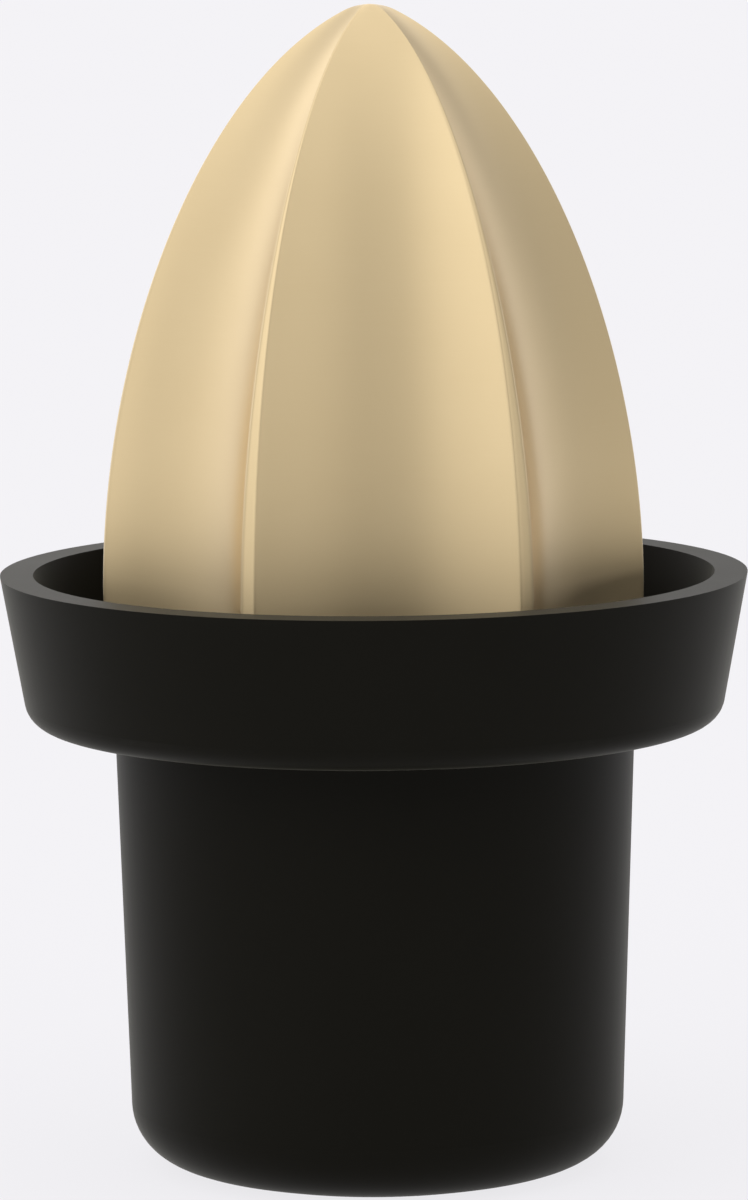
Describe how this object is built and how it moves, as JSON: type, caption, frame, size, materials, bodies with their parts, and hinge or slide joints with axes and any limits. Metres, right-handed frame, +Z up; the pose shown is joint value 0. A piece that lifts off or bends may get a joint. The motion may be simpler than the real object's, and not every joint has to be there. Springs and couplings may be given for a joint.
{
  "type": "citrus reamer",
  "caption": "Fluted brass citrus cone on a slotted strainer plate, in a flared black tray that lifts off a tapered juice cup.",
  "frame": {"origin": "on the cone's axis, at the level of the surface that the press stands on", "axes": "+Z up along the axis to the tip; one flute of the cone faces -Y and one faces +Y"},
  "size_m": [0.1, 0.1, 0.1557],
  "materials": {
    "cup_black": "fine matt moulded surface",
    "tray_black": "fine matt moulded surface",
    "plate_black": "fine matt moulded surface",
    "core_black": "plain moulded surface",
    "cone_brass": "satin, finely blasted",
    "seal_rubber": "soft silicone",
    "foot_rubber": "soft silicone",
    "screw_steel": "bright stainless"
  },
  "bodies": {
    "cup": {"cup": "cup_black", "foot_ring": "foot_rubber"},
    "tray": {"collector_tray": "tray_black", "tray_seal": "seal_rubber"},
    "reamer": {"strainer_plate": "plate_black", "reamer_core": "core_black", "reamer_cone": "cone_brass", "core_screws": "screw_steel"}
  },
  "joints": [
    {"name": "tray_lift", "type": "slide", "parent": "cup", "child": "tray", "axis": [0, 0, 1], "range_m": [0, 0.02]},
    {"name": "reamer_lift", "type": "slide", "parent": "tray", "child": "reamer", "axis": [0, 0, 1], "range_m": [0, 0.02]}
  ]
}
